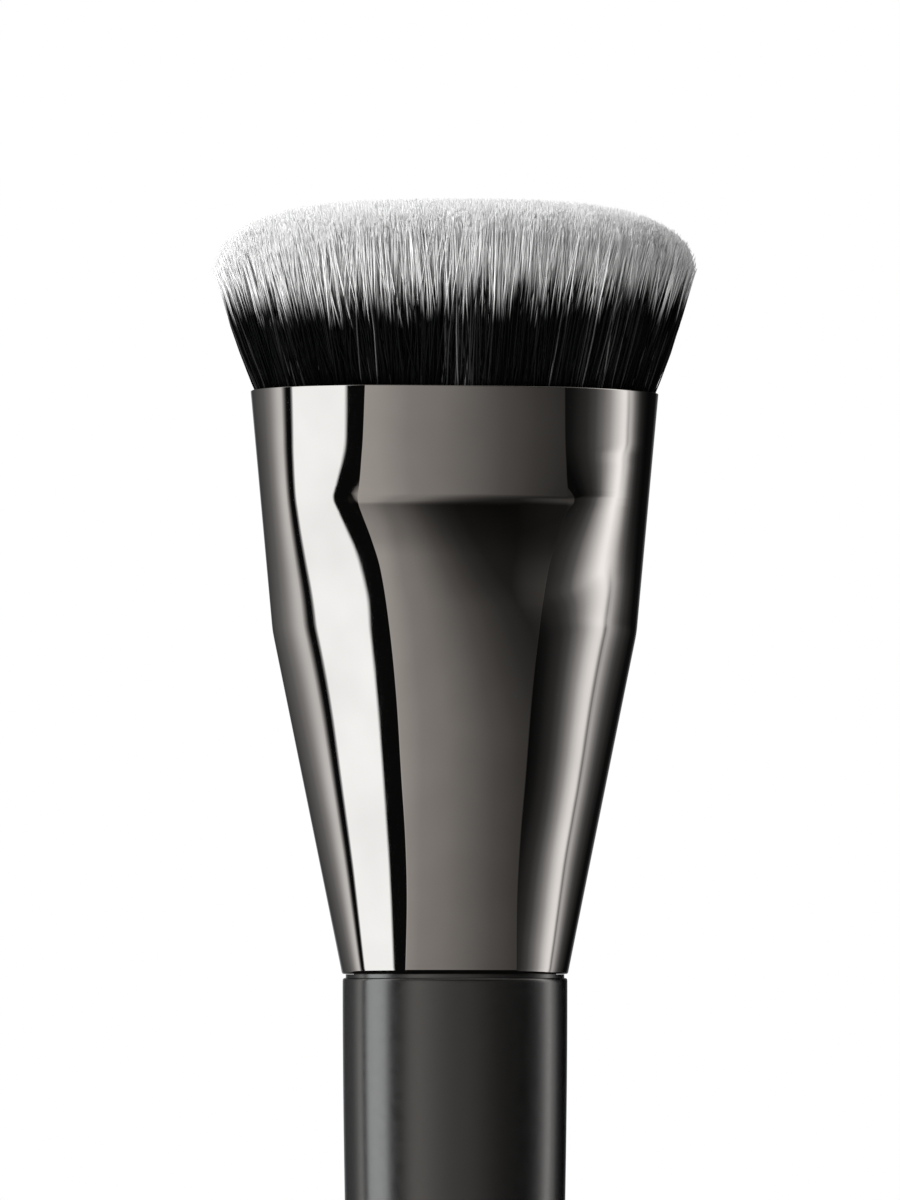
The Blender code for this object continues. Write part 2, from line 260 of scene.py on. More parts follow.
def makeWorld():
    world = bpy.data.worlds.new("studio")
    bpy.context.scene.world = world
    world.use_nodes = True
    add = partial(addNode, world.node_tree)
    level = add("ShaderNodeMapRange", {"Value": seenStraight(add), "To Min": studio["ambient"]})
    background = world.node_tree.nodes["Background"]
    background.inputs["Color"].default_value = (1, 1, 1, 1)
    feed(background, Strength=level)


def makeFloor():
    # Sprayed board: matt and pale, and it fades to the white surround far from the brush
    bpy.ops.mesh.primitive_circle_add(vertices=96, radius=studio["floorRadius"], fill_type="NGON")
    floor = bpy.context.object
    floor.name = "studio_floor"
    material, add, shader = newMaterial("sprayedBoard", Roughness=0.9,
                                        Base_Color=hexColour(studio["floorColour"]))
    place = add("ShaderNodeTexCoord").outputs["Object"]
    away = add("ShaderNodeVectorMath", {0: place}, operation="LENGTH").outputs["Value"]
    near, far = studio["floorFade"]
    fade = add("ShaderNodeMapRange", {"Value": away, "From Min": near, "From Max": far},
               interpolation_type="SMOOTHSTEP")
    share = add("ShaderNodeMath", {0: fade, 1: seenStraight(add)}, operation="MULTIPLY")
    white = add("ShaderNodeEmission", {"Color": (1, 1, 1, 1), "Strength": 1.0})
    blend = add("ShaderNodeMixShader", {0: share, 1: shader, 2: white})
    feed(material.node_tree.nodes["Material Output"], Surface=blend)
    floor.data.materials.append(material)


def stageForGloss(card, material):  # only the gloss sees it
    bpy.ops.object.transform_apply(location=True)
    card.data.materials.append(material)
    for kind in ("camera", "diffuse", "transmission", "shadow"):
        setattr(card, "visible_" + kind, False)


def makeRing():
    tall = studio["ringHeight"]
    bpy.ops.mesh.primitive_cylinder_add(vertices=180, radius=studio["ringRadius"], depth=tall,
                                        end_fill_type="NOTHING", location=(0, 0, tall / 2))
    ring = bpy.context.object
    ring.name = "studio_cards"
    material, add, shader = newMaterial("paintedCards")
    material.node_tree.nodes.remove(shader)
    material.cycles.emission_sampling = "NONE"
    place = add("ShaderNodeTexCoord").outputs["Object"]
    turned = add("ShaderNodeMapping", {"Vector": place, "Rotation": (0, 0, math.pi / 2)})
    sweep = add("ShaderNodeTexGradient", {"Vector": turned}, gradient_type="RADIAL").outputs["Fac"]
    cards = add("ShaderNodeValToRGB", {"Fac": sweep})
    tints = studio["cardTint"], studio["boxTint"]  # the white box is a little cooler than the cards
    setStops(cards, [((turn + 180) / 360, (*[level * side for side in tints[level == 1]], 1))
                     for turn, level in ringCards])
    turn = add("ShaderNodeMapRange", {"Value": sweep, "To Min": -180.0, "To Max": 180.0})
    height = add("ShaderNodeSeparateXYZ", {0: place}).outputs["Z"]

    def levelAlong(value, stops, tint=(1, 1, 1)):  # a level that follows (place, level) stops
        low, high = stops[0][0], stops[-1][0]
        share = add("ShaderNodeMapRange", {"Value": value, "From Min": low, "From Max": high})
        return setStops(add("ShaderNodeValToRGB", {"Fac": share}), [
            ((at - low) / (high - low), (*[level * side for side in tint], 1)) for at, level in stops])

    # Front card: squeezed towards its left edge as it rises, and dimmer at the top
    narrow = frontNarrowing
    above = add("ShaderNodeMath", {0: height, 1: narrow["from"]}, operation="SUBTRACT")
    above = add("ShaderNodeMath", {0: above, 1: 0.0}, operation="MAXIMUM")
    squeeze = add("ShaderNodeMath", {0: above, 1: narrow["perMetre"], 2: 1.0}, operation="MULTIPLY_ADD")
    off = add("ShaderNodeMath", {0: turn, 1: narrow["pivot"]}, operation="SUBTRACT")
    squeezed = add("ShaderNodeMath", {0: off, 1: squeeze, 2: narrow["pivot"]}, operation="MULTIPLY_ADD")
    front = add("ShaderNodeMath", {0: levelAlong(squeezed, frontCard), 1: levelAlong(height, frontFall)},
                operation="MULTIPLY")
    spill = add("ShaderNodeMath", {0: levelAlong(turn, frontEdgeGlow), 1: levelAlong(height, edgeGlowFall)},
                operation="MULTIPLY")
    front = add("ShaderNodeMath", {0: front, 1: spill}, operation="MAXIMUM")
    left, right = frontReach
    isFront = add("ShaderNodeMath", {0: turn, 1: (left + right) / 2, 2: (right - left) / 2},
                  operation="COMPARE")
    # Right strip: it leans, and changes with height
    slid = add("ShaderNodeMath", {0: turn, 1: levelAlong(height, stripSlide)}, operation="ADD")
    low, high = [levelAlong(slid, stops, tints[0]) for stops in (rightStripLow, rightStripHigh)]
    strip = add("ShaderNodeMix", {0: levelAlong(height, stripChange), 6: low, 7: high}, data_type="RGBA")
    rest = add("ShaderNodeMix", {0: 1.0, 6: cards, 7: strip.outputs[2]}, data_type="RGBA",
               blend_type="LIGHTEN")
    colour = add("ShaderNodeMix", {0: isFront, 6: rest.outputs[2], 7: front}, data_type="RGBA")
    shine = add("ShaderNodeEmission", {"Color": colour.outputs[2], "Strength": studio["ringLevel"]})
    feed(material.node_tree.nodes["Material Output"], Surface=shine)
    stageForGloss(ring, material)


def makeSkirt():
    # Black cloth inside the ring, low down, so that the handle's satin shine stays dark
    bpy.ops.mesh.primitive_circle_add(vertices=96, radius=studio["ringRadius"], fill_type="NGON",
                                      location=(0, 0, studio["skirtHeight"]))
    skirt = bpy.context.object
    skirt.name = "studio_skirt"
    material, add, shader = newMaterial("blackCloth", Roughness=1.0, Specular_IOR_Level=0.0)
    black = add("ShaderNodeValToRGB", {"Fac": grainOf(add, (20, 20, 20))})
    setStops(black, studio["skirtColours"])
    depth = add("ShaderNodeSeparateXYZ", {0: add("ShaderNodeTexCoord").outputs["Object"]}).outputs["Y"]
    behind = add("ShaderNodeMapRange", {"Value": depth, "From Max": studio["skirtFade"]},
                 interpolation_type="SMOOTHSTEP")
    faded = add("ShaderNodeMix", {0: behind, 6: black, 7: hexColour(studio["skirtFar"])}, data_type="RGBA")
    feed(shader, Base_Color=faded.outputs[2])  # greyer behind the brush, where it meets the dim wash
    stageForGloss(skirt, material)


def makeLamps():
    target = Vector((0, 0, studio["lampAim"]))
    for name, lamp in lamps.items():
        data = bpy.data.lights.new(name, "AREA")
        data.size, data.energy = lamp["size"], lamp["power"]
        turn, rise = math.radians(lamp["azimuth"]), math.radians(lamp["elevation"])
        away = Vector((math.sin(turn) * math.cos(rise), -math.cos(turn) * math.cos(rise), math.sin(rise)))
        item = bpy.data.objects.new(name, data)
        item.location = target + away * lamp["distance"]
        item.rotation_euler = (-away).to_track_quat("-Z", "Y").to_euler()
        item.visible_glossy = False  # the cards are what the gloss shows
        bpy.context.scene.collection.objects.link(item)


makeWorld()
makeFloor()
makeRing()
makeSkirt()
makeLamps()
print("studio set")


# Ferrule: one drawn and plated shell, lofted through its outlines from the lip to the foot

ferrule = {
    "foot": 100.3, "height": 45.3, "wall": 0.6,  # mm, as are the other sizes
    "rimWidth": 32.0, "rimDepth": 13.6,
    "shoulderDrop": 18.7, "shoulderWidth": 28.56,  # the sides turn in more steeply below it
    "footWidth": 17.6, "footDepth": 8.2,
    "creaseDrop": 8.7, "creaseDepth": 11.3,  # where the facet's two panels meet
    "bellyDrop": 16.4, "bellyDepth": 12.7,
    "crownRadius": 60.0, "shortCrownRadius": 84.0,  # the facets are very slightly rounded across
    "crownChange": 3.0,  # reach of the change from one to the other, each way
    "bellyEase": 2.0, "footEase": 1.5, "lobeStart": math.radians(30),
    "lobeSoft": 5.2, "lobeFade": 2.6,  # the crease and the facet's waist die out across the lobes
    "creaseSoft": 0.45, "shoulderSoft": 0.5, "kinkSoft": 0.12,  # reach of each soft turn, each way
    "edgeSoft": 0.05,  # half the width of the facet's rounded edge
    "lipRound": 0.05, "lipInnerRound": 0.33, "footRound": 0.14,
    "roundSteps": 7, "softSteps": 33, "facetPoints": 16, "lobePoints": 44,
    "creaseBand": 1.0,  # the rows lie closest within this reach of the crease
    "rowsAbove": 18, "rowsAtCrease": 25, "rowsBelow": 110, "rowsInside": 24,
    "sharpAngle": math.radians(50),
}
# Half the facet's width in shares of half the rim's, at shares of the way down each panel
shortPanelShares = ((0.0, 0.486), (0.46, 0.492), (0.66, 0.498), (0.833, 0.503), (1.0, 0.512))
longPanelShares = (
    (0.0, 0.512), (0.016, 0.506), (0.033, 0.494), (0.085, 0.4515), (0.148, 0.409), (0.273, 0.364),
    (0.421, 0.328), (0.587, 0.301), (0.716, 0.279), (0.842, 0.268), (1.0, 0.271),
)
# The side lobes' section against an ellipse's, at drops below the rim
lobeFullness = (  # over 0 it is fuller half way round
    (0.0, 0.088), (4.0, 0.052), (8.7, 0.034), (13.0, -0.02), (18.0, -0.15), (24.0, -0.137), (31.0, -0.013),
    (38.0, 0.096), (45.3, 0.315),
)
lobeBluntness = (  # over 0 it is blunter at the side, and leaves the facet more steeply
    (0.0, 0.081), (8.7, 0.065), (16.0, -0.086), (24.0, -0.137), (31.0, -0.062), (38.0, 0.018), (45.3, 0.211),
)


def easeThrough(knots, place):  # a smooth curve through (place, value) knots
    last = len(knots) - 1
    i = 0
    while i < last - 1 and place > knots[i + 1][0]:
        i += 1

    def slope(k):
        lower, upper = knots[max(k - 1, 0)], knots[min(k + 1, last)]
        return (upper[1] - lower[1]) / (upper[0] - lower[0])

    (x0, y0), (x1, y1) = knots[i], knots[i + 1]
    span = x1 - x0
    t = (place - x0) / span
    start = (2 * t**3 - 3 * t**2 + 1) * y0 + (t**3 - 2 * t**2 + t) * span * slope(i)
    return start + (3 * t**2 - 2 * t**3) * y1 + (t**3 - t**2) * span * slope(i + 1)


def ferruleHalfWidth(drop):
    f = ferrule
    if drop < f["shoulderDrop"]:
        return mix(f["rimWidth"], f["shoulderWidth"], drop / f["shoulderDrop"]) / 2
    t = (drop - f["shoulderDrop"]) / (f["height"] - f["shoulderDrop"])
    return mix(f["shoulderWidth"], f["footWidth"], t) / 2


def ferruleHalfDepth(drop):
    f = ferrule
    if drop < f["creaseDrop"]:
        return mix(f["rimDepth"], f["creaseDepth"], drop / f["creaseDrop"]) / 2
    if drop < f["bellyDrop"]:
        t = (drop - f["creaseDrop"]) / (f["bellyDrop"] - f["creaseDrop"])
        return mix(f["creaseDepth"], f["bellyDepth"], 1 - (1 - t) ** f["bellyEase"]) / 2
    t = (drop - f["bellyDrop"]) / (f["height"] - f["bellyDrop"])
    return mix(f["bellyDepth"], f["footDepth"], max(t, 0) ** f["footEase"]) / 2


def facetHalfWidth(drop):
    f = ferrule
    if drop < f["creaseDrop"]:
        share = easeThrough(shortPanelShares, drop / f["creaseDrop"])
    else:
        share = easeThrough(longPanelShares, (drop - f["creaseDrop"]) / (f["height"] - f["creaseDrop"]))
    return share * f["rimWidth"] / 2


def facetCrown(drop, facet):  # how far the facet's edge lies behind its middle
    f = ferrule
    past = min(max((drop - f["creaseDrop"]) / f["crownChange"] / 2 + 0.5, 0.0), 1.0)
    radius = mix(f["shortCrownRadius"], f["crownRadius"], past**2 * (3 - 2 * past))
    return radius - math.sqrt(radius**2 - facet**2)


def facetEdgeDepth(drop):
    return ferruleHalfDepth(drop) - facetCrown(drop, facetHalfWidth(drop))


def softened(size, drop, reach):  # the mean over a short reach rounds a kink
    low, high = 0.0, ferrule["height"]
    steps = np.linspace(-reach, reach, ferrule["softSteps"])
    inside = [size(drop + step) for step in steps
              if low <= drop + step <= high and low <= drop - step <= high]
    return float(np.mean(inside)) if inside else size(drop)


def ferruleOutline(drop, inset):  # closed outline at a drop below the rim, moved inwards by the inset
    f = ferrule
    drop = min(max(drop, 0.0), f["height"])
    wide = softened(ferruleHalfWidth, drop, f["shoulderSoft"])
    deep = softened(ferruleHalfDepth, drop, f["creaseSoft"])
    facet = softened(facetHalfWidth, drop, f["kinkSoft"])
    crown = facetCrown(drop, facet)
    plainFacet = softened(facetHalfWidth, drop, f["lobeSoft"])  # without the crease and the kinks
    plainDepth = softened(facetEdgeDepth, drop, f["lobeSoft"])
    edge = f["edgeSoft"] / facet
    acrossFacet = np.append(np.linspace(0, 1 - edge, f["facetPoints"]), 1.0)
    angles = np.linspace(f["lobeStart"], math.pi / 2, f["lobePoints"])
    angles = np.insert(angles[1:], 0, f["lobeStart"] + f["edgeSoft"] / (wide - facet) / 2)
    across = (np.sin(angles) - math.sin(f["lobeStart"])) / (1 - math.sin(f["lobeStart"]))
    fall = np.cos(angles) / math.cos(f["lobeStart"])  # 1 at the facet's edge and 0 at the side
    section = fall + fall * (1 - fall) * (
        easeThrough(lobeFullness, drop) + easeThrough(lobeBluntness, drop) * (1 - 2 * fall))
    fade = (1 - across) ** f["lobeFade"]
    x = np.concatenate([facet * acrossFacet, mix(plainFacet, wide, across) + (facet - plainFacet) * fade])
    y = np.concatenate([deep - crown * acrossFacet**2,
                        plainDepth * section + (deep - crown - plainDepth) * fade])
    quarter = np.stack([x, y], 1)
    quarter[-1, 1] = 0.0
    right = np.concatenate([quarter, (quarter * (1, -1))[-2::-1]])  # back middle, right side, front middle
    outline = np.concatenate([right, (right * (-1, 1))[-2:0:-1]])
    along = np.roll(outline, -1, 0) - np.roll(outline, 1, 0)
    inward = np.stack([-along[:, 1], along[:, 0]], 1)
    inward /= np.linalg.norm(inward, axis=1, keepdims=True)
    inward *= -np.sign((inward * outline).sum(1, keepdims=True))
    return outline + inward * inset


def ferruleRows():  # (drop, inset) round the wall's section: down the outside, up the inside
    f = ferrule
    quarterTurns = np.linspace(0, math.pi / 2, f["roundSteps"])
    lip = [(f["lipRound"] * (1 - math.sin(a)), f["lipRound"] * (1 - math.cos(a))) for a in quarterTurns[::-1]]
    bandTop, bandEnd = f["creaseDrop"] - f["creaseBand"], f["creaseDrop"] + f["creaseBand"]
    drops = np.concatenate([
        [f["lipRound"] * 1.5],
        np.linspace(f["lipRound"], bandTop, f["rowsAbove"])[1:],
        np.linspace(bandTop, bandEnd, f["rowsAtCrease"])[1:],
        np.linspace(bandEnd, f["height"] - f["footRound"], f["rowsBelow"])[1:],
    ])
    outside = [(drop, 0.0) for drop in drops]
    r = f["footRound"]
    foot = [(f["height"] - r * (1 - math.sin(a)), r * (1 - math.cos(a))) for a in quarterTurns[1:]]
    inside = [(drop, f["wall"]) for drop in np.linspace(f["height"], f["lipInnerRound"], f["rowsInside"])]
    r = f["lipInnerRound"]
    innerLip = [(r * (1 - math.sin(a)), f["wall"] - r * (1 - math.cos(a))) for a in quarterTurns[1:]]
    return lip + outside + foot + inside + innerLip


def loftRings(rings):  # a closed skin through rings, whose last one joins the first
    count, rows = len(rings[0]), len(rings)
    points = np.concatenate(rings)
    faces = []
    for row in range(rows):
        here, there = row * count, (row + 1) % rows * count
        for i in range(count):
            j = (i + 1) % count
            faces.append((here + i, here + j, there + j, there + i))
    return points, faces


def makeFerrule():
    rim = (ferrule["foot"] + ferrule["height"]) * mm
    rings = []
    for drop, inset in ferruleRows():
        outline = ferruleOutline(drop, inset) * mm
        rings.append(np.column_stack([outline, np.full(len(outline), rim - drop * mm)]))
    points, faces = loftRings(rings)
    mesh = bpy.data.meshes.new("ferrule_shell")
    mesh.from_pydata(points.tolist(), [], faces)
    mesh.shade_smooth()
    mesh.set_sharp_from_angle(angle=ferrule["sharpAngle"])
    # Gunmetal plate, wheel polished: a dark warm mirror, with its polishing lines drawn out along the brush.
    # The real lines are too fine to show, so they are drawn 0.25 mm wide
    mesh.materials.append(grainedFinish(
        "polishedGunmetalPlate", (0.25, 0.25, 14.0), 3.0, ("#89837e", "#8f8984"), (0.02, 0.045), (0.02, 0.01),
        cloud=(6, 6, 6), Metallic=1.0))
    settle(addPiece("ferrule_shell", mesh), "gunmetal", "ferrule")


makeFerrule()
print("ferrule made")


# Handle and end plug: rods of squarish oval section that follow one rule

handle = {
    "length": 100.0, "topWidth": 17.5, "topDepth": 8.4, "endWidth": 12.8, "endDepth": 7.6,
    "squareness": 2.5,  # 2 is an ellipse
    "bottom": 2.3, "shoulderRound": 0.18, "bottomRound": 0.12,
    "tenonWidth": 15.8, "tenonDepth": 6.4, "tenonBottom": 97.0, "tenonTop": 115.0,
    "collarInset": 0.24, "collarBottom": 99.0, "collarTop": 100.28,  # fills the glue line under the ferrule
    "boreDiameter": 5.0, "boreTop": 61.6,
    "sides": 160, "bodyRings": 96, "flangeRings": 32, "plainRings": 4, "boreSides": 64,
    "sharpAngle": math.radians(40),
}
plug = {"flange": 2.0, "edgeRound": 0.6, "topRound": 0.12, "spigotDiameter": 4.4, "spigotTop": 7.0}


def ovalRodTree():
    sizes = ("Bottom", "Top", "End Width", "End Depth", "Top Width", "Top Depth", "Length", "Squareness",
             "Bottom Round", "Top Round")
    tree, add, given = newTree("ovalRod", [*[(name, "Float") for name in sizes], ("Rings", "Int")])
    rod = add("GeometryNodeMeshCylinder",
              {"Vertices": handle["sides"], "Side Segments": given["Rings"], "Radius": 1.0, "Depth": 1.0})
    x, y, z = add("ShaderNodeSeparateXYZ", {0: add("GeometryNodeInputPosition")}).outputs
    # Rings lie closer towards both ends, where the edges turn
    turn = add("ShaderNodeMath", {0: z, 1: math.pi}, operation="MULTIPLY")
    eased = add("ShaderNodeMath", {0: turn}, operation="SINE")
    height = add("ShaderNodeMapRange", {"Value": eased, "From Min": -1.0, "From Max": 1.0,
                                        "To Min": given["Bottom"], "To Max": given["Top"]})
    swell = add("ShaderNodeMapRange", {"Value": height, "From Max": given["Length"]},
                interpolation_type="SMOOTHSTEP")
    fromBottom = add("ShaderNodeMath", {0: height, 1: given["Bottom"]}, operation="SUBTRACT")
    fromTop = add("ShaderNodeMath", {0: given["Top"], 1: height}, operation="SUBTRACT")
    inset = 0.0
    for away, radius in ((fromBottom, given["Bottom Round"]), (fromTop, given["Top Round"])):
        into = add("ShaderNodeMath", {0: radius, 1: away}, operation="SUBTRACT")
        into = add("ShaderNodeMath", {0: into, 1: 0.0}, operation="MAXIMUM")
        into = add("ShaderNodeMath", {0: into, 1: into}, operation="MULTIPLY")
        left = add("ShaderNodeMath", {0: radius, 1: radius, 2: 0.0}, operation="MULTIPLY_ADD")
        left = add("ShaderNodeMath", {0: left, 1: into}, operation="SUBTRACT")
        left = add("ShaderNodeMath", {0: left}, operation="SQRT")
        drawn = add("ShaderNodeMath", {0: radius, 1: left}, operation="SUBTRACT")
        inset = add("ShaderNodeMath", {0: inset, 1: drawn}, operation="ADD")
    inset = add("ShaderNodeMath", {0: inset, 1: -1.0}, operation="MULTIPLY")
    # The squarish oval's reach in each direction, against that of a circle
    powers = []
    for side in (x, y):
        size = add("ShaderNodeMath", {0: side}, operation="ABSOLUTE")
        powers.append(add("ShaderNodeMath", {0: size, 1: given["Squareness"]}, operation="POWER"))
    total = add("ShaderNodeMath", {0: powers[0], 1: powers[1]}, operation="ADD")
    root = add("ShaderNodeMath", {0: -1.0, 1: given["Squareness"]}, operation="DIVIDE")
    reach = add("ShaderNodeMath", {0: total, 1: root}, operation="POWER")
    placed = []
    for side, end, top in ((x, "End Width", "Top Width"), (y, "End Depth", "Top Depth")):
        full = add("ShaderNodeMapRange", {"Value": swell, "To Min": given[end], "To Max": given[top]})
        half = add("ShaderNodeMath", {0: full, 1: 0.5, 2: inset}, operation="MULTIPLY_ADD")
        out = add("ShaderNodeMath", {0: side, 1: reach}, operation="MULTIPLY")
        placed.append(add("ShaderNodeMath", {0: out, 1: half}, operation="MULTIPLY"))
    spot = add("ShaderNodeCombineXYZ", {0: placed[0], 1: placed[1], 2: height})
    add("NodeGroupOutput", {"Geometry": add("GeometryNodeSetPosition", {"Geometry": rod, "Position": spot})})
    return tree


def finishRod(name, build, material, slot, replaced):  # build gives the rods to join, and a bore or None
    tree, add, given = newTree(name + "Shape", [("Material", "Material")])
    rods, bore = build(add)
    solid = add("GeometryNodeMeshBoolean", operation="UNION", solver="MANIFOLD")
    for rod in rods:
        tree.links.new(rod.outputs[0], solid.inputs[1])
    if bore:
        solid = add("GeometryNodeMeshBoolean", {0: solid, 1: bore}, operation="DIFFERENCE", solver="MANIFOLD")
    smooth = add("GeometryNodeSetShadeSmooth", {"Geometry": solid})
    whole = add("GeometryNodeRealizeInstances", {"Geometry": smooth})
    coated = add("GeometryNodeSetMaterial", {"Geometry": whole, "Material": given["Material"]})
    add("NodeGroupOutput", {"Geometry": coated})
    piece = meshFromNodes(name, tree, {"Material": material})
    piece.data.set_sharp_from_angle(angle=handle["sharpAngle"])
    settle(piece, slot, replaced)


def makeHandle():
    rodShape = ovalRodTree()
    h, p = handle, plug
    oval = {titleOf(key): h[key] for key in ("endWidth", "endDepth", "topWidth", "topDepth", "squareness")}

    def rod(add, bottom, top, rings, sizes):  # one rod of the shared tree, with its sizes in millimetres
        values = {"Bottom": bottom, "Top": top, "Length": h["length"], "Bottom Round": 0.0, "Top Round": 0.0,
                  **sizes}
        inputs = {name: value if name == "Squareness" else value * mm for name, value in values.items()}
        return add("GeometryNodeGroup", {**inputs, "Rings": rings}, node_tree=rodShape)

    def straight(width, depth):  # the sizes of a rod with no taper and an elliptical section
        return {"End Width": width, "End Depth": depth, "Top Width": width, "Top Depth": depth,
                "Squareness": 2.0}

    def handleShape(add):
        body = rod(add, h["bottom"], h["length"], h["bodyRings"], {
            **oval, "Bottom Round": h["bottomRound"], "Top Round": h["shoulderRound"]})
        tenon = rod(add, h["tenonBottom"], h["tenonTop"], h["plainRings"],
                    straight(h["tenonWidth"], h["tenonDepth"]))
        inset = 2 * h["collarInset"]
        collar = rod(add, h["collarBottom"], h["collarTop"], h["plainRings"], {
            **oval, "Top Width": h["topWidth"] - inset, "Top Depth": h["topDepth"] - inset})
        bore = add("GeometryNodeMeshCylinder", {
            "Vertices": h["boreSides"], "Radius": h["boreDiameter"] / 2 * mm, "Depth": 2 * h["boreTop"] * mm})
        return (body, collar, tenon), bore

    def plugShape(add):
        flange = rod(add, 0.0, p["flange"], h["flangeRings"], {
            **oval, "Bottom Round": p["edgeRound"], "Top Round": p["topRound"]})
        wide = p["spigotDiameter"]
        spigot = rod(add, p["flange"] / 2, p["spigotTop"], h["plainRings"], straight(wide, wide))
        return (flange, spigot), None

    # Satin black lacquer, sprayed over the turned handle: soft broad shine with a very fine orange peel
    lacquer = grainedFinish("satinBlackLacquer", (0.5, 0.5, 0.5), 2.0, ("#050505", "#090909"), (0.21, 0.25),
                            (0.04, 0.02), IOR=1.8, Specular_Tint=(1.0, 0.94, 0.88, 1.0))
    finishRod("handle_body", handleShape, lacquer, "handle_black", "handle_shell")
    # Moulded black ABS from a spark-eroded tool: a fine even grain and a dull shine
    dull = grainedFinish("mouldedBlackAbs", (0.25, 0.25, 0.25), 3.0, ("#0e0e0f", "#151516"), (0.40, 0.52),
                         (0.2, 0.01))
    finishRod("end_cap", plugShape, dull, "plug_black", "end_plug")


makeHandle()
print("handle made")


# Tuft: thousands of fine tapered strands, black at the root and white at the tip

tuft = {
    "rim": 145.6,  # mm, height of the ferrule's lip
    "rootBelow": 1.2,  # the strands start this far down inside the lip
    "rootHalfWidth": 15.3, "rootHalfDepth": 6.1,
    "tipHalfWidth": 18.92, "tipHalfDepth": 8.5,
    "topHeight": 15.1, "sideHeight": 9.6, "frontHeight": 12.0,  # of the trimmed dome above the lip
    "sidePower": 3.7, "frontPower": 2.3,  # how flat the dome is in the middle
    "tilt": 0.25,  # the trim is this much higher at the right edge, and lower at the left
    "strand": 0.13, "strandTip": 0.04,  # diameters
    "taperFrom": 0.50,  # share of the length at which a strand starts to taper
    "seatTries": 4.0,  # seats tried in each square of the spacing, which is more than fit
    "lock": 1.1, "lockPull": 0.12,  # size of a lock of strands, and how far its tips gather
    "rootTurn": 9.0, "rootInward": 0.035,  # degrees about the axis, and share, by which roots are out of line
    "wave": 0.8, "waveSize": 1.3, "waveRise": 1.6,  # neighbours wave together, and 1.6 times up to the tip
    "stray": 0.30, "bow": 0.38, "shorter": 0.35,  # the most a tip strays, a strand bows and a tip is cut
    "changeHeight": 7.1,  # above the lip, where black turns white
    "changeByLock": 1.0, "changeByStrand": 3.4, "changeBySideStrand": 2.2,  # how far that height differs
    "changeTilt": 0.6,  # higher on the right by this much, and lower on the left
    "changeReach": 9.0,  # how far the colour map runs below and above the change
    "toneByStrand": 0.5, "toneByLock": 0.46, "toneAround": 0.02, "toneLeast": 0.02,  # parts of its tone
    "ovalSides": 128, "sides": 3,
}
# The tree takes these by the same names: shares and powers, and lengths in millimetres
plainKeys = ("sidePower", "frontPower", "taperFrom", "lockPull", "rootInward")
lengthKeys = (
    "tilt", "rim", "strand", "strandTip", "lock", "wave", "waveSize", "stray", "bow", "shorter",
    "changeByLock", "changeByStrand", "changeBySideStrand", "changeTilt", "changeReach",
)
fibre = {
    # Colours by the strand's tone: of the dyed root, the bare stem and the tip. The root's top greys, on the
    # few strands of highest tone, are painted sheen: they stand in for glints of light on black strands
    "dyedAndSheen": ((0.0, "#050505"), (0.56, "#080808"), (0.70, "#161616"), (0.82, "#363636"), (0.95, "#6a6a6a")),
    "stem": ((0.0, "#cacaca"), (0.3, "#dddddd"), (0.6, "#e8e8e8"), (1.0, "#f2f2f2")),
    "tip": ((0.0, "#dedede"), (0.5, "#e9e9e9"), (1.0, "#f2f2f2")),
    # Where on the colour map the dye ends, and where the stem takes the tip's colour
    "changeBand": (0.44, 0.60), "tipBand": (0.62, 0.90),
    "roughness": (0.48, 0.62), "specular": (0.07, 0.1),  # dyed and bare
}


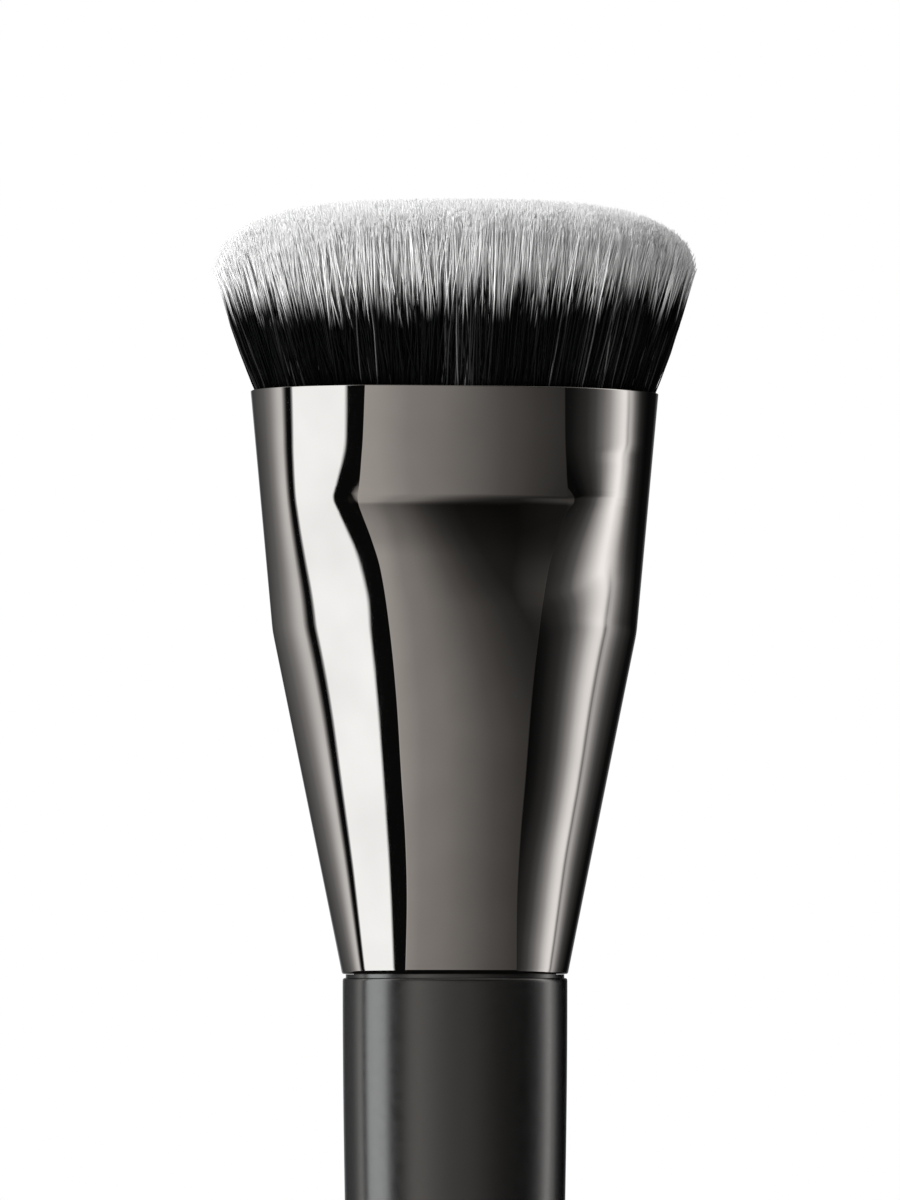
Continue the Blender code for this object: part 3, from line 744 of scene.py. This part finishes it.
def bristleTree():
    t = tuft
    vectors = ("Root Half Size", "Tip Half Size")
    floats = ("Spacing", "Ring From", "Root Height", "Root Turn", "Side Height", "Front Height", "Top Height",
              "Change Height", *[titleOf(key) for key in plainKeys + lengthKeys])
    tree, add, given = newTree("bristles", [
        *[(name, "Vector") for name in vectors], *[(name, "Float") for name in floats],
        ("Segments", "Int"), ("Seed", "Int"), ("Material", "Material")])

    # Seats: even random places over the oval of the trimmed end
    disc = add("GeometryNodeMeshCircle", {"Vertices": t["ovalSides"], "Radius": 1.0}, fill_type="NGON")
    oval = add("GeometryNodeTransform", {"Geometry": disc, "Scale": given["Tip Half Size"]})
    density = add("ShaderNodeMath", {0: given["Spacing"], 1: -2.0}, operation="POWER")
    density = add("ShaderNodeMath", {0: density, 1: t["seatTries"]}, operation="MULTIPLY")
    seats = add("GeometryNodeDistributePointsOnFaces", {
        "Mesh": oval, "Distance Min": given["Spacing"], "Density Max": density, "Seed": given["Seed"]},
        distribute_method="POISSON")
    spot = add("GeometryNodeInputPosition")
    share = add("ShaderNodeVectorMath", {0: spot, 1: given["Tip Half Size"]}, operation="DIVIDE")
    out = add("ShaderNodeVectorMath", {0: share}, operation="LENGTH").outputs["Value"]
    inner = add("FunctionNodeCompare", {0: out, 1: given["Ring From"]}, operation="LESS_THAN")
    seats = add("GeometryNodeDeleteGeometry", {"Geometry": seats, "Selection": inner})
    kept = add("GeometryNodeCaptureAttribute", {"Geometry": seats})
    kept.capture_items.new("VECTOR", "Seat")
    kept.capture_items.new("INT", "Strand")
    feed(kept, Seat=spot, Strand=add("GeometryNodeInputIndex"))
    points = add("GeometryNodeSetPosition", {"Geometry": kept, "Position": (0, 0, 0)})

    # One strand: a three-sided rod, which is cheap and still reads as round at this size
    prism = add("GeometryNodeMeshCone", {
        "Vertices": t["sides"], "Side Segments": given["Segments"],
        "Radius Top": 1.0, "Radius Bottom": 1.0, "Depth": 1.0})
    strands = add("GeometryNodeInstanceOnPoints", {"Points": points, "Instance": prism})
    strands = add("GeometryNodeRealizeInstances", {"Geometry": strands})
    seat, strand = kept.outputs[1], kept.outputs[2]

    # Along: 0 at the strand's start and 1 at its tip
    x, y, along = add("ShaderNodeSeparateXYZ", {0: add("GeometryNodeInputPosition")}).outputs
    around = add("ShaderNodeCombineXYZ", {0: x, 1: y})
    share = add("ShaderNodeVectorMath", {0: seat, 1: given["Tip Half Size"]}, operation="DIVIDE")
    out = add("ShaderNodeVectorMath", {0: share}, operation="LENGTH").outputs["Value"]
    chance, lean = [add("FunctionNodeRandomValue", {0: (-1, -1, 0), 1: (1, 1, 0), "ID": strand, "Seed": seed},
                        data_type="FLOAT_VECTOR") for seed in (1, 2)]
    # Cubed, so that most strands lean a little and a few lean a lot
    squared = add("ShaderNodeVectorMath", {0: lean, 1: lean}, operation="MULTIPLY")
    lean = add("ShaderNodeVectorMath", {0: squared, 1: lean}, operation="MULTIPLY")
    luck = [add("FunctionNodeRandomValue", {2: 0.0, 3: 1.0, "ID": strand, "Seed": seed}).outputs[1]
            for seed in (3, 4, 5, 6, 7)]

    # Locks: the tips of neighbouring strands gather towards the middle of their cell
    scale = add("ShaderNodeMath", {0: 1.0, 1: given["Lock"]}, operation="DIVIDE")
    cells = add("ShaderNodeTexVoronoi", {"Vector": seat, "Scale": scale}, voronoi_dimensions="2D")
    toMiddle = add("ShaderNodeVectorMath", {0: cells.outputs["Position"], 1: seat}, operation="SUBTRACT")
    pulled = add("ShaderNodeMath", {0: luck[2], 1: given["Lock Pull"]}, operation="MULTIPLY")
    toMiddle = add("ShaderNodeVectorMath", {0: toMiddle, "Scale": pulled}, operation="SCALE")
    lock = add("ShaderNodeSeparateXYZ", {0: cells.outputs["Color"]}).outputs

    # Root, and tip on the trimmed dome
    leanAcross = add("ShaderNodeSeparateXYZ", {0: lean}).outputs["X"]
    turn = add("ShaderNodeMath", {0: leanAcross, 1: given["Root Turn"]}, operation="MULTIPLY")
    turned = add("ShaderNodeVectorRotate", {"Vector": share, "Angle": turn}, rotation_type="Z_AXIS")
    inward = add("ShaderNodeMath", {0: luck[3], 1: given["Root Inward"]}, operation="MULTIPLY")
    inward = add("ShaderNodeMath", {0: 1.0, 1: inward}, operation="SUBTRACT")
    turned = add("ShaderNodeVectorMath", {0: turned, "Scale": inward}, operation="SCALE")
    root = add("ShaderNodeVectorMath", {0: turned, 1: given["Root Half Size"]}, operation="MULTIPLY")
    rise = add("ShaderNodeCombineXYZ", {2: given["Root Height"]})
    root = add("ShaderNodeVectorMath", {0: root, 1: rise}, operation="ADD")
    shareAcross = add("ShaderNodeSeparateXYZ", {0: share}).outputs["X"]
    sideways = add("ShaderNodeMath", {0: shareAcross, 1: out}, operation="DIVIDE")
    sideways = add("ShaderNodeMath", {0: sideways, 1: sideways}, operation="MULTIPLY")
    edge, power, steady = [  # these go from the front's value to the side's round the oval
        add("ShaderNodeMapRange", {"Value": sideways, "To Min": given[front], "To Max": given[side]})
        for front, side in (("Front Height", "Side Height"), ("Front Power", "Side Power"),
                            ("Change By Strand", "Change By Side Strand"))]
    raised = add("ShaderNodeMath", {0: out, 1: power}, operation="POWER")
    fall = add("ShaderNodeMath", {0: 1.0, 1: raised}, operation="SUBTRACT")
    fall = add("ShaderNodeMath", {0: fall, 1: 0.0}, operation="MAXIMUM")
    fall = add("ShaderNodeMath", {0: fall}, operation="SQRT")
    dome = add("ShaderNodeMapRange", {"Value": fall, "To Min": edge, "To Max": given["Top Height"]})
    cut = add("ShaderNodeMath", {0: luck[0], 1: given["Shorter"]}, operation="MULTIPLY")
    top = add("ShaderNodeMath", {0: dome, 1: cut}, operation="SUBTRACT")
    top = add("ShaderNodeMath", {0: shareAcross, 1: given["Tilt"], 2: top}, operation="MULTIPLY_ADD")
    rise = add("ShaderNodeCombineXYZ", {2: top})
    stray = add("ShaderNodeVectorMath", {0: lean, "Scale": given["Stray"]}, operation="SCALE")
    tip = seat
    for shift in (rise, toMiddle, stray):
        tip = add("ShaderNodeVectorMath", {0: tip, 1: shift}, operation="ADD")

    # Centre line, bowed a little, and the taper
    line = add("ShaderNodeMix", {0: along, 4: root, 5: tip}, data_type="VECTOR")
    halfTurn = add("ShaderNodeMath", {0: along, 1: math.pi}, operation="MULTIPLY")
    belly = add("ShaderNodeMath", {0: halfTurn}, operation="SINE")
    belly = add("ShaderNodeMath", {0: belly, 1: given["Bow"]}, operation="MULTIPLY")
    bow = add("ShaderNodeVectorMath", {0: chance, "Scale": belly}, operation="SCALE")
    line = add("ShaderNodeVectorMath", {0: line.outputs[1], 1: bow}, operation="ADD")
    finer = add("ShaderNodeMath", {0: 1.0, 1: given["Wave Size"]}, operation="DIVIDE")
    place = add("ShaderNodeVectorMath", {0: seat, "Scale": finer}, operation="SCALE")
    rising = add("ShaderNodeMath", {0: along, 1: t["waveRise"]}, operation="MULTIPLY")
    rising = add("ShaderNodeCombineXYZ", {2: rising})
    place = add("ShaderNodeVectorMath", {0: place, 1: rising}, operation="ADD")
    wave = add("ShaderNodeTexNoise", {"Vector": place, "Scale": 1.0, "Detail": 1.0}).outputs["Color"]
    wave = add("ShaderNodeVectorMath", {0: wave, 1: (0.5, 0.5, 0.5)}, operation="SUBTRACT")
    swing = add("ShaderNodeMath", {0: along, 1: given["Wave"]}, operation="MULTIPLY")
    wave = add("ShaderNodeVectorMath", {0: wave, "Scale": swing}, operation="SCALE")
    flat = add("ShaderNodeVectorMath", {0: wave, 1: (1, 1, 0)}, operation="MULTIPLY")
    line = add("ShaderNodeVectorMath", {0: line, 1: flat}, operation="ADD")
    half = add("ShaderNodeMapRange", {"Value": along, "From Min": given["Taper From"],
                                      "To Min": given["Strand"], "To Max": given["Strand Tip"]})
    half = add("ShaderNodeMath", {0: half, 1: 0.5}, operation="MULTIPLY")
    spin = add("ShaderNodeMath", {0: luck[4], 1: 2 * math.pi}, operation="MULTIPLY")
    around = add("ShaderNodeVectorRotate", {"Vector": around, "Angle": spin}, rotation_type="Z_AXIS")
    skin = add("ShaderNodeVectorMath", {0: around, "Scale": half}, operation="SCALE")
    final = add("ShaderNodeVectorMath", {0: line, 1: skin}, operation="ADD")

    # Colour map, stored while the strands are still upright: the strand's own tone across, and up its height
    # against its change of colour
    above = add("ShaderNodeSeparateXYZ", {0: line}).outputs["Z"]
    above = add("ShaderNodeMath", {0: above, 1: given["Rim"]}, operation="SUBTRACT")
    fromMean = add("ShaderNodeMath", {0: luck[1], 1: 0.5}, operation="SUBTRACT")
    changeAt = given["Change Height"]
    for share, size in ((lock[0], given["Change By Lock"]), (fromMean, steady),
                        (shareAcross, given["Change Tilt"])):
        changeAt = add("ShaderNodeMath", {0: share, 1: size, 2: changeAt}, operation="MULTIPLY_ADD")
    above = add("ShaderNodeMath", {0: above, 1: changeAt}, operation="SUBTRACT")
    reach = add("ShaderNodeMath", {0: given["Change Reach"], 1: -1.0}, operation="MULTIPLY")
    up = add("ShaderNodeMapRange", {"Value": above, "From Min": reach, "From Max": given["Change Reach"]})
    tone = 0.0
    for share, key in ((luck[0], "toneByStrand"), (lock[1], "toneByLock"), (x, "toneAround"),
                       (1.0, "toneLeast")):
        tone = add("ShaderNodeMath", {0: share, 1: t[key], 2: tone}, operation="MULTIPLY_ADD")
    spread = add("ShaderNodeCombineXYZ", {0: tone, 1: up})
    mapped = add("GeometryNodeStoreNamedAttribute", {
        "Geometry": strands, "Name": "OFBake", "Value": spread}, data_type="FLOAT2", domain="CORNER")
    shaped = add("GeometryNodeSetPosition", {"Geometry": mapped, "Position": final})
    smooth = add("GeometryNodeSetShadeSmooth", {"Geometry": shaped})
    whole = add("GeometryNodeRealizeInstances", {"Geometry": smooth})
    coloured = add("GeometryNodeSetMaterial", {"Geometry": whole, "Material": given["Material"]})
    add("NodeGroupOutput", {"Geometry": coloured})
    return tree


def makeTuft():
    t, tree = tuft, bristleTree()
    shared = {titleOf(key): t[key] for key in plainKeys}
    shared.update({titleOf(key): t[key] * mm for key in lengthKeys})
    for key in ("sideHeight", "frontHeight", "topHeight"):
        shared[titleOf(key)] = (t["rim"] + t[key]) * mm
    shared.update({
        "Root Half Size": (t["rootHalfWidth"] * mm, t["rootHalfDepth"] * mm, 1),
        "Tip Half Size": (t["tipHalfWidth"] * mm, t["tipHalfDepth"] * mm, 1),
        "Root Height": (t["rim"] - t["rootBelow"]) * mm,
        "Root Turn": math.radians(t["rootTurn"]),
        "Change Height": (t["changeHeight"] - t["changeByLock"] / 2) * mm,
        "Material": makeBristleFibre(),
    })
    # Name, share of the oval where it starts, segments, spacing in millimetres, seed
    layers = [("bristles_outer_%d" % (i + 1), 0.80, 5, 0.16, 11 + i) for i in range(4)]
    layers += [("bristles_inner_%d" % (i + 1), 0.0, 3, 0.195, 37 + i) for i in range(3)]
    for name, ringFrom, segments, spacing, seed in layers:
        piece = meshFromNodes(name, tree, {
            **shared, "Ring From": ringFrom, "Spacing": spacing * mm, "Segments": segments, "Seed": seed})
        settle(piece, "bristle", *(["bristle_tuft"] if name == "bristles_outer_1" else []))
        print(name, len(piece.data.vertices), "points", len(piece.data.polygons), "faces")


def makeBristleFibre():
    # Polyester filament, drawn, tapered and dip-dyed: black with a low shine, changing to white at each tip
    material, add, shader = newMaterial("taperedPolyesterFibre")
    tone, up, _ = add("ShaderNodeSeparateXYZ", {0: add("ShaderNodeUVMap", uv_map="OFBake")}).outputs
    # the root colours' lightest greys are painted sheen on a few black strands
    dyedAndSheen, stem, tip = [setStops(add("ShaderNodeValToRGB", {"Fac": tone}), fibre[part])
                       for part in ("dyedAndSheen", "stem", "tip")]
    low, high = fibre["tipBand"]
    towardsTip = add("ShaderNodeMapRange", {"Value": up, "From Min": low, "From Max": high})
    bare = add("ShaderNodeMix", {0: towardsTip, 6: stem, 7: tip}, data_type="RGBA")
    low, high = fibre["changeBand"]
    change = add("ShaderNodeMapRange", {"Value": up, "From Min": low, "From Max": high},
                 interpolation_type="SMOOTHSTEP")
    colour = add("ShaderNodeMix", {0: change, 6: dyedAndSheen, 7: bare.outputs[2]}, data_type="RGBA")
    rough, shine = [add("ShaderNodeMapRange", {"Value": change, "To Min": low, "To Max": high})
                    for low, high in (fibre["roughness"], fibre["specular"])]
    feed(shader, Base_Color=colour.outputs[2], Roughness=rough, Specular_IOR_Level=shine)
    return material


makeTuft()
print("tuft made")


# Inner pieces: the CAD nodes keep their shape and get their finish

def dressNode(name, material):
    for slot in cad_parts[name].material_slots:
        slot.material = material


def dressFrame():
    # Cast epoxy with the roots set in it: glassy and nearly black, with slight clouding
    dressNode("resin_plug", grainedFinish(
        "castEpoxyResin", (0.6, 0.6, 0.6), 2.0, ("#0f0c09", "#1a140e"), (0.10, 0.24), (0.5, 0.01), IOR=1.55))
    # Deep drawn aluminium: bright, with fine scores down the way it was drawn
    dressNode("hair_cup", grainedFinish(
        "deepDrawnAluminium", (0.2, 0.2, 6.0), 3.0, ("#c2c4c6", "#d0d2d3"), (0.26, 0.40), (0.5, 0.006),
        Metallic=1.0))
    # Moulded glass-filled nylon: dull charcoal with a soft flow mottle
    dressNode("ferrule_core", grainedFinish(
        "mouldedGlassFilledNylon", (0.3, 0.3, 1.2), 4.0, ("#17171a", "#232326"), (0.46, 0.60), (0.5, 0.012),
        IOR=1.53))
    # Bright drawn steel bar: grey metal with long faint die lines
    dressNode("balance_weight", grainedFinish(
        "brightDrawnSteel", (0.15, 0.15, 12.0), 3.0, ("#b0b1b3", "#bfc0c2"), (0.22, 0.36), (0.5, 0.004),
        Metallic=1.0))


dressFrame()
print("inner pieces dressed")
